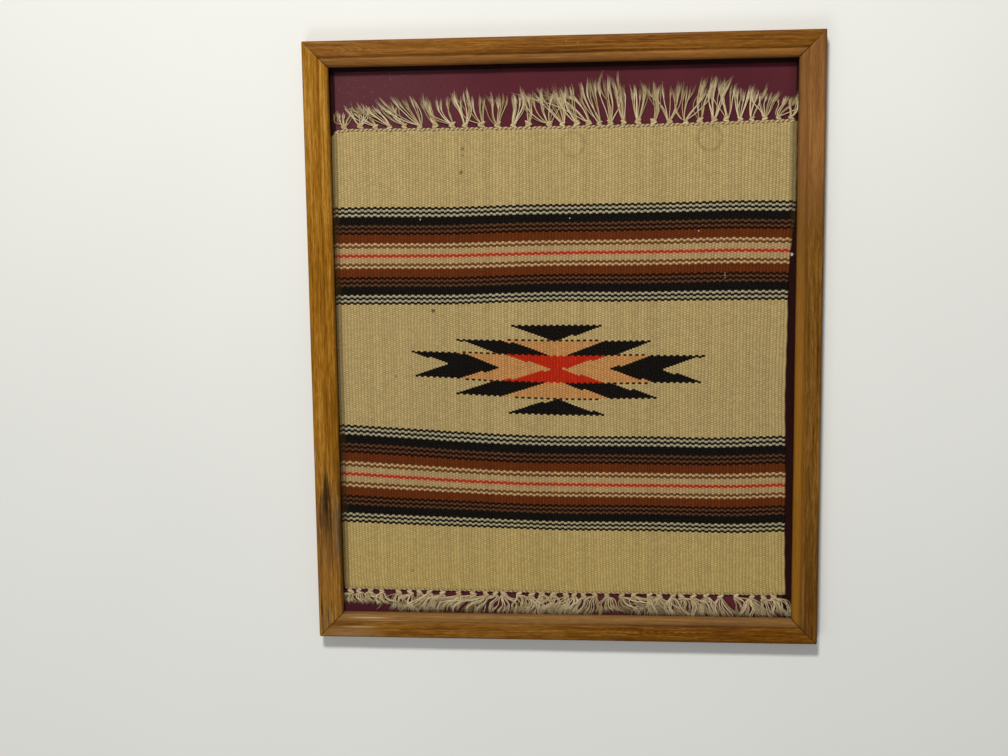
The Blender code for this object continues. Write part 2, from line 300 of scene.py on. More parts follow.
class Shape:
    """Points, faces and one vector for each point, collected piece by piece into one mesh."""

    def __init__(self, name, attribute):
        self.name = name
        self.attribute = attribute
        self.points = []
        self.values = []
        self.faces = []
        self.count = 0

    def add(self, points, values, faces):
        self.faces += [[corner + self.count for corner in face] for face in faces]
        self.points.append(np.asarray(points, float).reshape(-1, 3))
        self.values.append(np.asarray(values, float).reshape(-1, 3))
        self.count += len(self.points[-1])

    def grid(self, points, values, closed=False):
        """Quads over rows and columns of points, the columns joined round if closed."""
        rows, columns = points.shape[:2]
        last = columns if closed else columns - 1
        faces = []
        for row in range(rows - 1):
            start = row * columns
            for column in range(last):
                after = (column + 1) % columns
                above = start + columns
                faces.append((start + column, start + after, above + after, above + column))
        self.add(points, values, faces)

    def tube(self, path, radii, up=(0, 0, 1), sides=6, tint=0.0, closed=False, flat=1.0):
        """A tube along path. The vector of each point is turns round, distance along and tint."""
        path = np.asarray(path, float)
        count = len(path)
        radii = np.broadcast_to(np.asarray(radii, float), (count,))
        if closed:
            tangent = np.roll(path, -1, 0) - np.roll(path, 1, 0)
        else:
            tangent = np.gradient(path, axis=0)
        tangent /= np.linalg.norm(tangent, axis=1)[:, None]
        side = np.cross(tangent, np.broadcast_to(np.asarray(up, float), path.shape))
        side /= np.linalg.norm(side, axis=1)[:, None]
        normal = np.cross(side, tangent)
        along = np.concatenate([[0], np.cumsum(np.linalg.norm(np.diff(path, axis=0), axis=1))])
        rings = []
        values = []
        for corner in range(sides):
            angle = 2 * math.pi * corner / sides - math.pi / 2
            around = math.cos(angle) * side + math.sin(angle) * normal * flat
            rings.append(path + radii[:, None] * around)
            values.append(np.stack([np.full(count, corner / sides), along, np.full(count, tint)], 1))
        points = np.stack(rings, 1)
        values = np.stack(values, 1)
        start = self.count
        if closed:
            points = np.concatenate([points, points[:1]])
            values = np.concatenate([values, values[:1]])
        self.grid(points, values, closed=True)
        if not closed:
            self.faces.append([start + corner for corner in reversed(range(sides))])
            self.faces.append([start + (count - 1) * sides + corner for corner in range(sides)])

    def finish(self, material, replaced):
        mesh = bpy.data.meshes.new(self.name)
        mesh.from_pydata(np.concatenate(self.points).tolist(), [], self.faces)
        held = mesh.attributes.new(self.attribute, "FLOAT_VECTOR", "POINT")
        held.data.foreach_set("vector", np.concatenate(self.values).astype(np.float32).ravel())
        mesh.materials.append(material)
        mesh.shade_smooth()
        piece = bpy.data.objects.new(self.name, mesh)
        bpy.context.collection.objects.link(piece)
        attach(piece, "root")
        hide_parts(replaced)
        return piece


# Materials


class Paint:
    """Builds one node material."""

    def __init__(self, name, roughness=0.8, specular=0.5):
        self.material = bpy.data.materials.new(name)
        self.material.use_nodes = True
        self.tree = self.material.node_tree
        self.shader = self.tree.nodes["Principled BSDF"]
        self.shader.inputs["Roughness"].default_value = roughness
        self.shader.inputs["Specular IOR Level"].default_value = specular

    def feed(self, socket, value):
        if isinstance(value, bpy.types.NodeSocket):
            self.tree.links.new(value, socket)
        else:
            socket.default_value = value

    def node(self, kind, inputs, output=0, **settings):
        made = self.tree.nodes.new(kind)
        for name, value in settings.items():
            setattr(made, name, value)
        for place, value in inputs.items():
            self.feed(made.inputs[place], value)
        return made.outputs[output]

    def attribute(self, name):
        return self.node("ShaderNodeAttribute", {}, output="Vector", attribute_name=name)

    def position(self):
        return self.node("ShaderNodeTexCoord", {}, output="Object")

    def split(self, vector):
        made = self.tree.nodes.new("ShaderNodeSeparateXYZ")
        self.feed(made.inputs[0], vector)
        return tuple(made.outputs)

    def join(self, x, y, z):
        return self.node("ShaderNodeCombineXYZ", {0: x, 1: y, 2: z})

    def math(self, operation, *values):
        return self.node("ShaderNodeMath", dict(enumerate(values)), operation=operation)

    def add(self, a, b):
        return self.math("ADD", a, b)

    def times(self, a, b):
        return self.math("MULTIPLY", a, b)

    def rest(self, share):
        """What share leaves of 1."""
        return self.math("SUBTRACT", 1.0, share)

    def vector(self, operation, a, b):
        return self.node("ShaderNodeVectorMath", {0: a, 1: b}, operation=operation)

    def scaled(self, vector, scale):
        return self.vector("MULTIPLY", vector, scale)

    def length(self, vector):
        return self.node("ShaderNodeVectorMath", {0: vector}, output="Value", operation="LENGTH")

    def noise(self, vector, scale=1.0, detail=2.0, roughness=0.5):
        inputs = {"Vector": vector, "Scale": scale, "Detail": detail, "Roughness": roughness}
        return self.node("ShaderNodeTexNoise", inputs)

    def chance(self, vector):
        """An even random value for each whole vector."""
        return self.node("ShaderNodeTexWhiteNoise", {"Vector": vector}, noise_dimensions="3D")

    def step(self, value, low, high):
        """Rises smoothly from 0 at low to 1 at high."""
        inputs = {"Value": value, "From Min": low, "From Max": high}
        return self.node("ShaderNodeMapRange", inputs, interpolation_type="SMOOTHSTEP")

    def ramp(self, value, stops, interpolation="LINEAR"):
        made = self.tree.nodes.new("ShaderNodeValToRGB")
        elements = made.color_ramp.elements
        made.color_ramp.interpolation = interpolation
        elements[0].position, elements[0].color = stops[0]
        elements[1].position, elements[1].color = stops[-1]
        for position, colour in stops[1:-1]:
            elements.new(position).color = colour
        self.feed(made.inputs[0], value)
        return made.outputs[0]

    def mix(self, share, a, b, blend="MIX"):
        inputs = {0: share, 6: a, 7: b}
        return self.node("ShaderNodeMix", inputs, output=2, data_type="RGBA", blend_type=blend)

    def shade(self, colour, factor):
        """Colour times a number."""
        return self.mix(1.0, colour, self.join(factor, factor, factor), "MULTIPLY")

    def bump(self, height, distance, strength):
        made = self.tree.nodes.new("ShaderNodeBump")
        made.inputs["Strength"].default_value = strength
        made.inputs["Distance"].default_value = distance
        self.feed(made.inputs["Height"], height)
        self.feed(self.shader.inputs["Normal"], made.outputs[0])

    def spot(self, position, place, radius, softness):
        """1 inside a round spot at place on the picture, fading to 0 at radius."""
        offset = self.vector("SUBTRACT", position, (*place, 0))
        distance = self.length(self.scaled(offset, (1, 1, 0)))
        return self.rest(self.step(distance, radius * (1 - softness), radius))


def oak(name, seed, tones, bead_tone=None, figure=None, stains_and_painted_light=()):
    """Varnished oak in three tones. The attribute grain is along the rail, inwards and up, in metres."""
    paint = Paint(name, specular=0.08)
    grain = paint.attribute("grain")
    moved = paint.vector("ADD", grain, (seed, 0, 0))
    along, inwards, height = paint.split(grain)
    wander = paint.times(paint.add(paint.noise(paint.scaled(moved, (7, 12, 12)), detail=1.0), -0.5), 0.009)
    lines = paint.vector("ADD", moved, paint.join(0.0, wander, wander))
    flecks = paint.noise(paint.scaled(lines, (60, 800, 800)), detail=3.0, roughness=0.7)
    fine = paint.noise(paint.scaled(lines, (12, 520, 520)), detail=3.0, roughness=0.65)
    streaks = paint.noise(paint.scaled(lines, (3.5, 150, 150)), detail=3.0, roughness=0.6)
    broad = paint.noise(paint.scaled(moved, (3, 30, 30)), detail=2.0)
    dots = paint.noise(paint.scaled(lines, (90, 1300, 1300)), detail=2.0, roughness=0.7)
    pores = paint.step(dots, 0.56, 0.68)
    share = paint.add(paint.times(flecks, 0.34), paint.times(fine, 0.34))
    share = paint.add(share, paint.add(paint.times(streaks, 0.26), paint.times(broad, 0.26)))
    if figure:
        tip, middle_line, reach, depth = figure
        beside = paint.add(inwards, -middle_line)
        arch = paint.math("SUBTRACT", paint.times(paint.times(beside, beside), 900.0), along)
        arch = paint.add(arch, tip)
        arcs = paint.math("SINE", paint.add(paint.times(arch, 700.0), paint.times(streaks, 9.0)))
        far = paint.times(paint.math("ABSOLUTE", paint.add(along, -tip)), 1 / reach)
        fade = paint.rest(paint.step(far, 0.3, 1.0))
        fade = paint.times(fade, paint.step(height, 13 * MM, 16 * MM))
        share = paint.add(share, paint.times(paint.times(arcs, fade), depth))
    dark, middle, light = tones
    colour = paint.ramp(share, ((0.49, dark), (0.60, middle), (0.72, light)))
    rings = paint.math("SINE", paint.add(paint.times(inwards, 1500.0), paint.times(broad, 12.0)))
    rings = paint.times(paint.step(rings, 0.80, 1.0), paint.step(streaks, 0.35, 0.65))
    colour = paint.mix(paint.times(rings, 0.45), colour, dark)
    colour = paint.mix(paint.times(pores, 0.45), colour, dark)
    if bead_tone:
        depth, tint = bead_tone
        bead = paint.step(inwards, BAND_END + QUIRK_WIDTH, BAND_END + QUIRK_WIDTH + 2 * MM)
        tinted = paint.shade(tint, paint.add(paint.times(share, 1.6), 0.04))
        colour = paint.mix(paint.times(bead, depth), colour, tinted)
    # Painted shade in the groove of the quirk
    quirk = paint.math("COMPARE", inwards, BAND_END + QUIRK_WIDTH * 0.5, QUIRK_WIDTH * 0.4)
    colour = paint.mix(paint.times(quirk, 0.2), colour, dark)
    # Painted shade: a thin dark line along the rounded outer edge
    outer_edge_shade = paint.math("COMPARE", inwards, 0.7 * MM, 0.7 * MM)
    colour = paint.mix(paint.times(outer_edge_shade, 0.4), colour, dark)
    # Stains, and the painted glints and shade listed with them, each laid on as a ragged patch of tint
    for centre, reach, spread, depth, tint in stains_and_painted_light:
        offset = paint.vector("SUBTRACT", grain, (*centre, 0))
        far = paint.length(paint.scaled(offset, (1 / reach, 1 / spread, 0)))
        ragged = paint.add(far, paint.times(paint.add(streaks, -0.5), 1.1))
        ragged = paint.add(ragged, paint.times(paint.add(paint.add(fine, flecks), -1.0), 1.1))
        mask = paint.rest(paint.step(ragged, 0.30, 1.10))
        tinted = paint.shade(tint, paint.add(paint.times(share, 2.0), -0.2))
        colour = paint.mix(paint.times(mask, depth), colour, tinted)
    paint.feed(paint.shader.inputs["Base Color"], colour)
    paint.feed(paint.shader.inputs["Roughness"], paint.add(0.36, paint.times(fine, 0.2)))
    paint.bump(paint.add(flecks, paint.times(pores, -0.8)), 0.00014, 0.8)
    return paint.material


def make_rails():
    top = (srgb(84, 48, 8), srgb(126, 77, 17), srgb(164, 110, 42))
    left = (srgb(114, 68, 6), srgb(160, 106, 22), srgb(196, 146, 62))
    right = (srgb(80, 48, 10), srgb(119, 78, 22), srgb(154, 110, 48))
    bottom = (srgb(78, 42, 2), srgb(117, 70, 4), srgb(159, 110, 40))
    # Each stain, painted glint or painted shade: middle along and across the rail, reach along, spread
    # across, depth and tint
    left_stains_and_shade = (
        ((0.24, 0.013), 0.13, 0.03, 0.6, srgb(132, 88, 38)),
        ((0.11, 0.02), 0.09, 0.008, 0.3, srgb(126, 80, 8)),
        ((0.214, 0.014), 0.052, 0.017, 0.6, srgb(98, 66, 30)),
        ((0.188, 0.012), 0.034, 0.0115, 0.75, srgb(74, 48, 20)),
        ((0.164, 0.0135), 0.032, 0.0068, 0.9, srgb(50, 32, 12)),
        ((0.2, 0.024), 0.05, 0.004, 0.6, srgb(118, 100, 74)),
        # Painted shade on the inner side of the bead, low on the rail
        ((0.215, 0.027), 0.09, 0.0025, 0.7, srgb(70, 46, 14)),
        ((0.31, 0.01), 0.026, 0.014, 0.35, srgb(120, 98, 66)),
        ((0.294, 0.0035), 0.016, 0.0016, 0.8, srgb(48, 30, 14)),
        ((0.3, 0.011), 0.018, 0.0009, 0.8, srgb(56, 36, 18)),
        ((0.292, 0.015), 0.014, 0.0008, 0.7, srgb(56, 36, 18)),
    )
    right_stains = (
        ((0.24, 0.014), 0.13, 0.03, 0.45, srgb(156, 104, 62)),
        ((-0.26, 0.014), 0.15, 0.03, 0.4, srgb(96, 58, 12)),
        ((-0.16, 0.0235), 0.3, 0.0075, 0.85, srgb(150, 100, 24)),
    )
    bottom_stains_and_glints = (
        ((-0.24, 0.006), 0.04, 0.008, 0.5, srgb(158, 122, 78)),
        # Painted highlights: three thin light streaks standing for glints on the varnish
        ((-0.218, 0.023), 0.03, 0.0012, 0.8, srgb(206, 172, 124)),
        ((-0.23, 0.0125), 0.028, 0.0012, 0.7, srgb(196, 160, 110)),
        ((-0.2, 0.02), 0.04, 0.001, 0.5, srgb(190, 152, 100)),
        ((-0.236, 0.015), 0.022, 0.0012, 0.6, srgb(60, 36, 12)),
    )
    top_stains_and_glint = (
        # Painted highlight: a long light streak along the bead's crest
        ((0.012, 0.0225), 0.026, 0.0008, 0.4, srgb(190, 146, 92)),
        ((-0.007, 0.0064), 0.001, 0.0016, 0.4, srgb(190, 146, 92)),
        ((-0.019, 0.0087), 0.001, 0.0018, 0.4, srgb(190, 146, 92)),
        ((0.22, 0.014), 0.12, 0.03, 0.25, srgb(146, 96, 44)),
    )
    across = FRAME_HEIGHT / 2
    upright = FRAME_WIDTH / 2
    make_rail("rail_bottom", "frame_bottom", FRAME_WIDTH, across, 0, (True, True),
              oak("oak_bottom", 3.1, bottom, (0.55, srgb(150, 112, 66)), (0.10, 0.011, 0.09, 0.03),
                  bottom_stains_and_glints))
    make_rail("rail_right", "frame_right", FRAME_HEIGHT, upright, 90, (True, False),
              oak("oak_right", 7.7, right, (0.35, srgb(126, 88, 40)), None, right_stains))
    make_rail("rail_top", "frame_top", FRAME_WIDTH, across, 180, (False, False),
              oak("oak_top", 12.9, top, (0.55, srgb(150, 102, 50)), (0.215, 0.010, 0.035, 0.04),
                  top_stains_and_glint))
    make_rail("rail_left", "frame_left", FRAME_HEIGHT, upright, -90, (False, True),
              oak("oak_left", 21.3, left, None, None, left_stains_and_shade))


def rail_section():
    """Section of a rail, from the back of its outer side over the face to the back of the rebate."""
    points = [(ARRIS, 0.0), (0.0, ARRIS), (0.0, 5 * MM), (0.0, 11 * MM)]
    for step in range(9):
        angle = math.radians(180 - 90 * step / 8)
        points.append((
            OUTER_ROUND + OUTER_ROUND * math.cos(angle),
            FRAME_DEPTH - OUTER_ROUND + OUTER_ROUND * math.sin(angle),
        ))
    for step in range(1, 7):
        points.append((OUTER_ROUND + (BAND_END - ARRIS - OUTER_ROUND) * step / 6, FRAME_DEPTH))
    quirk_end = BAND_END + QUIRK_WIDTH
    points += [
        (BAND_END, FRAME_DEPTH - ARRIS),
        (BAND_END + QUIRK_WIDTH * 0.35, FRAME_DEPTH - QUIRK_DEPTH),
        (BAND_END + QUIRK_WIDTH * 0.6, FRAME_DEPTH - QUIRK_DEPTH),
    ]
    start = math.radians(BEAD_START_ANGLE)
    outer_reach = (BEAD_CREST - quirk_end) / -math.cos(start)
    inner_reach = FACE_WIDTH - BEAD_CREST
    for step in range(19):
        angle = start * (1 - step / 18)
        reach = outer_reach if math.cos(angle) < 0 else inner_reach
        points.append((BEAD_CREST + reach * math.cos(angle), BEAD_BASE + BEAD_RISE * math.sin(angle)))
    back = FACE_WIDTH - REBATE_WIDTH
    points += [
        (FACE_WIDTH, 11.5 * MM),
        (FACE_WIDTH, REBATE_DEPTH + ARRIS),
        (FACE_WIDTH - ARRIS, REBATE_DEPTH),
        (back, REBATE_DEPTH),
        (back, 5 * MM),
        (back, 0.0),
        (12 * MM, 0.0),
    ]
    return np.array(points)


def make_rail(name, node, length, outer_distance, turn, opened, material):
    """A rail along its own X with its outer edge down, turned about the picture's middle."""
    section = rail_section()
    middle = np.array((FACE_WIDTH / 2, FRAME_DEPTH / 2))
    inward = middle - section
    inward /= np.linalg.norm(inward, axis=1)[:, None]
    stations = [(-1, *end) for end in END_ROUND]
    stations += [(-1 + 2 * step / RAIL_STATIONS, *END_ROUND[-1]) for step in range(1, RAIL_STATIONS)]
    stations += [(1, *end) for end in reversed(END_ROUND)]
    phase = turn * 0.37
    rows = []
    values = []
    for place, inset, rounding in stations:
        is_open = opened[0] if place < 0 else opened[1]
        opening = (OPEN_MITRE_GAP - MITRE_GAP) * (1 - section[:, 0] / FACE_WIDTH) if is_open else 0.0
        end = length / 2 - section[:, 0] - MITRE_GAP - opening * abs(place) ** 8
        along = place * end - math.copysign(inset, place)
        pulled = section + inward * rounding * END_ROUNDING
        wave = 0.12 * MM * np.sin(along * 31 + phase) + 0.07 * MM * np.sin(along * 83 + 2 * phase)
        wave = np.where(pulled[:, 1] > 8 * MM, wave, 0.0)
        height = pulled[:, 1] + wave
        side = pulled[:, 0] + 0.4 * wave
        rows.append(np.stack([along, side - outer_distance, height], 1))
        values.append(np.stack([along, pulled[:, 0], height], 1))
    shape = Shape(name, "grain")
    rows = np.array(rows)
    angle = math.radians(turn)
    turned = rows.copy()
    turned[..., 0] = rows[..., 0] * math.cos(angle) - rows[..., 1] * math.sin(angle)
    turned[..., 1] = rows[..., 0] * math.sin(angle) + rows[..., 1] * math.cos(angle)
    shape.grid(turned[:, ::-1], np.array(values)[:, ::-1], closed=True)
    count = len(section)
    shape.faces.append(list(range(count)))
    shape.faces.append([len(stations) * count - 1 - corner for corner in range(count)])
    piece = shape.finish(material, node)
    piece.data.set_sharp_from_angle(angle=math.radians(50))


# Glass and board


def clear_glass():
    """Clear, with a faint film of dust."""
    paint = Paint("picture_glass", 0.05)
    nodes = paint.tree.nodes
    haze = paint.noise(paint.position(), scale=9.0, detail=4.0, roughness=0.6)
    clear = nodes.new("ShaderNodeBsdfTransparent")
    clear.inputs["Color"].default_value = (0.99, 0.99, 0.985, 1)
    gloss = nodes.new("ShaderNodeBsdfGlossy")
    gloss.inputs["Color"].default_value = (0.95, 0.97, 1.0, 1)
    gloss.inputs["Roughness"].default_value = 0.04
    fresnel = paint.node("ShaderNodeFresnel", {"IOR": 1.45})
    pane = nodes.new("ShaderNodeMixShader")
    paint.feed(pane.inputs[0], paint.times(fresnel, 0.1))
    paint.feed(pane.inputs[1], clear.outputs[0])
    paint.feed(pane.inputs[2], gloss.outputs[0])
    paint.shader.inputs["Base Color"].default_value = (0.75, 0.74, 0.72, 1)
    paint.shader.inputs["Roughness"].default_value = 0.9
    dusty = nodes.new("ShaderNodeMixShader")
    paint.feed(dusty.inputs[0], paint.times(haze, 0.001))
    paint.feed(dusty.inputs[1], pane.outputs[0])
    paint.feed(dusty.inputs[2], paint.shader.outputs[0])
    paint.feed(nodes["Material Output"].inputs["Surface"], dusty.outputs[0])
    return paint.material


def burgundy_board():
    """Matt burgundy facing with painted shade along its right side and a painted shadow round its rim under
    the rails, and grey-brown pulp on the edges and the back.
    """
    paint = Paint("burgundy_board", 0.9, specular=0.1)
    position = paint.position()
    fibre = paint.noise(position, scale=900.0, detail=3.0, roughness=0.7)
    cloud = paint.noise(position, scale=14.0, detail=3.0)
    facing = paint.ramp(paint.add(paint.times(fibre, 0.4), paint.times(cloud, 0.5)),
                        ((0.25, srgb(78, 29, 38)), (0.7, srgb(104, 44, 54))))
    corner = paint.spot(position, (-0.21, 0.27), 0.17, 0.9)
    facing = paint.mix(paint.times(corner, 0.10), facing, srgb(140, 112, 116))
    specks = paint.step(paint.noise(position, scale=480.0, detail=1.0), 0.62, 0.78)
    facing = paint.mix(paint.times(specks, paint.times(corner, 0.3)), facing, srgb(150, 122, 116))
    x, y, _ = paint.split(position)
    beside = paint.add(paint.math("ABSOLUTE", x), -SIGHT_HALF_WIDTH)
    low = paint.step(y, 0.232, 0.222)
    on_right = paint.math("GREATER_THAN", x, 0.0)
    right = paint.times(on_right, paint.add(paint.times(low, 7.5 * MM), -3.0 * MM))
    # Painted shade: the facing darkens towards the right rail
    shade = paint.times(on_right, paint.step(beside, -13 * MM, -3 * MM))
    facing = paint.mix(paint.times(shade, 0.35), facing, srgb(48, 18, 22))
    beside = paint.add(beside, right)
    # Painted shadow: a near-black band along the sight edges, where the rails shade the board
    above = paint.add(y, -SIGHT_HALF_HEIGHT)
    rim = paint.step(paint.math("MAXIMUM", beside, above), -5.2 * MM, -4.0 * MM)
    rim = paint.times(rim, paint.step(paint.add(x, y), -0.535, -0.510))
    facing = paint.mix(paint.times(rim, 0.93), facing, srgb(34, 4, 1))
    # A small white fleck on the facing near the right rail
    white_fleck = paint.spot(position, (0.2440, 0.0960), 2.2 * MM, 0.5)
    facing = paint.mix(paint.times(white_fleck, 0.9), facing, srgb(214, 206, 190))
    pulp = paint.ramp(fibre, ((0.3, srgb(120, 104, 84)), (0.75, srgb(158, 142, 118))))
    normal = paint.node("ShaderNodeNewGeometry", {}, output="Normal")
    front = paint.step(paint.split(normal)[2], 0.6, 0.8)
    paint.feed(paint.shader.inputs["Base Color"], paint.mix(front, pulp, facing))
    paint.bump(fibre, 0.0001, 0.6)
    return paint.material


def dress_panes():
    panes = (
        ("glass", clear_glass(), 0.5 * MM),
        ("backing_board", burgundy_board(), 0.4 * MM),
    )
    for node, material, bevel in panes:
        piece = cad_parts[node]
        piece.data.materials.clear()
        piece.data.materials.append(material)
        softened = piece.modifiers.new("arris", "BEVEL")
        softened.width = bevel
        softened.segments = 2


# Mat


def eased(points, across):
    """Heights in metres at places across, from a short table in mm, its corners rounded off."""
    table = np.array(points, float) * MM
    fine = np.arange(-0.30, 0.3001, 0.002)
    line = np.interp(fine, table[:, 0], table[:, 1])
    kernel = np.hanning(EASED_OVER)
    padded = np.pad(line, EASED_OVER // 2, mode="edge")
    line = np.convolve(padded, kernel / kernel.sum(), mode="valid")
    return np.interp(across, fine, line)


def head_line(across):
    """Height in the picture of the mat's upper end."""
    across = np.asarray(across, float)
    rise = np.where(across < 0, HEAD_RISE_LEFT, HEAD_RISE_RIGHT)
    past_corner = np.minimum(0.0, across - ROUND_CORNER_FROM)
    return CLOTH_HEAD + rise * (across / HALF_CLOTH) ** 2 - ROUND_CORNER_DROP * past_corner ** 2


def tail_line(across):
    """Height in the picture of the mat's lower end."""
    return eased(TAIL_LINE, across)


def selvedges(height):
    table = np.array(SELVEDGES) * MM
    return np.interp(height, table[:, 0], table[:, 1]), np.interp(height, table[:, 0], table[:, 2])


def cloth_surface():
    """Places of a grid of points on the mat, with each point's rib and pick."""
    rng = np.random.default_rng(5)
    widths = 1 + 0.07 * rng.standard_normal(WARP_RIBS)
    rib_places = np.concatenate([[0], np.cumsum(widths)]) / widths.sum()
    edge = SELVEDGE_ROUND
    inner = np.arange(WARP_RIBS * COLUMNS_PER_RIB + 1) / COLUMNS_PER_RIB
    ribs = np.concatenate([[0] * 3, inner, [WARP_RIBS] * 3])
    outset = np.concatenate([[e[0] for e in edge], 0 * inner, [-e[0] for e in edge[::-1]]]) * MM
    drop = np.concatenate([[e[1] for e in edge], 0 * inner, [e[1] for e in edge[::-1]]])
    rows = np.linspace(0, PICKS, CLOTH_ROWS)
    picks = np.concatenate([[0] * 2, rows, [PICKS] * 2])
    row_drop = np.concatenate([[1.0, 0.45], 0 * rows, [0.45, 1.0]])
    row_outset = np.concatenate([[0.0, -0.25], 0 * rows, [0.25, 0.0]]) * MM
    place = np.interp(ribs, np.arange(WARP_RIBS + 1), rib_places)
    x = LINES_FROM + LINES_SPAN * place
    level_picks = [0] + [pick for pick, _ in PICK_LINES] + [PICKS]
    levels = [tail_line(x)] + [eased(line, x) for _, line in PICK_LINES] + [head_line(x)]
    levels = np.array(levels)
    points = np.zeros((len(picks), len(ribs), 3))
    for row, pick in enumerate(picks):
        over = min(np.searchsorted(level_picks, pick, side="right"), len(level_picks) - 1)
        low, high = level_picks[over - 1], level_picks[over]
        part = (pick - low) / (high - low)
        y = levels[over - 1] * (1 - part) + levels[over] * part
        y = y + 0.25 * MM * np.sin(ribs * 0.11 + pick * 0.043) * math.sin(math.pi * min(part, 1))
        left, right = selvedges(y)
        across = left + (right - left) * place
        across = across + 0.3 * MM * np.sin(pick * 0.05 + ribs * 0.23)
        across = across + 0.22 * MM * np.sin(pick * 0.31 + ribs * 0.9)
        points[row, :, 0] = across + outset
        points[row, :, 1] = y + row_outset[row]
    turn = ribs - np.floor(ribs)
    profile = np.sin(np.pi * turn) ** 0.8
    rib_heights = 1 + 0.25 * rng.standard_normal(WARP_RIBS + 1)
    lift = profile * np.clip(rib_heights[np.minimum(ribs.astype(int), WARP_RIBS)], 0.5, 1.5)
    grid_rib, grid_pick = np.meshgrid(ribs, picks)
    buckle = 0.16 * np.sin(grid_rib * 0.19 + 1.3) * np.sin(grid_pick * 0.052)
    buckle += 0.10 * np.sin(grid_rib * 0.47 + grid_pick * 0.11)
    front = CLOTH_VALLEY + RIB_RELIEF * lift[None, :] + buckle * MM
    sunk = np.maximum(drop[None, :], row_drop[:, None])
    points[..., 2] = CLOTH_BOTTOM + (front - CLOTH_BOTTOM) * (1 - sunk)
    values = np.stack([grid_rib, grid_pick, 0 * grid_rib], -1)
    return points, values


def weave_height(paint, rib, pick):
    """The rib and the pick that show at a point, and how the yarn rounds off up and across there."""
    rib_index = paint.math("FLOOR", rib)
    parity = paint.math("MODULO", rib_index, 2.0)
    phase = paint.times(paint.math("SUBTRACT", paint.add(pick, 0.5), parity), 0.5)
    shown = paint.add(paint.times(paint.math("FLOOR", phase), 2.0), parity)
    up = paint.add(paint.times(paint.math("FRACT", phase), 2.0), -1.0)
    across = paint.add(paint.times(paint.math("FRACT", rib), 2.0), -1.0)
    round_up = paint.rest(paint.math("POWER", paint.math("ABSOLUTE", up), 2.4))
    round_across = paint.rest(paint.math("POWER", paint.math("ABSOLUTE", across), 2.2))
    return rib_index, shown, round_up, round_across


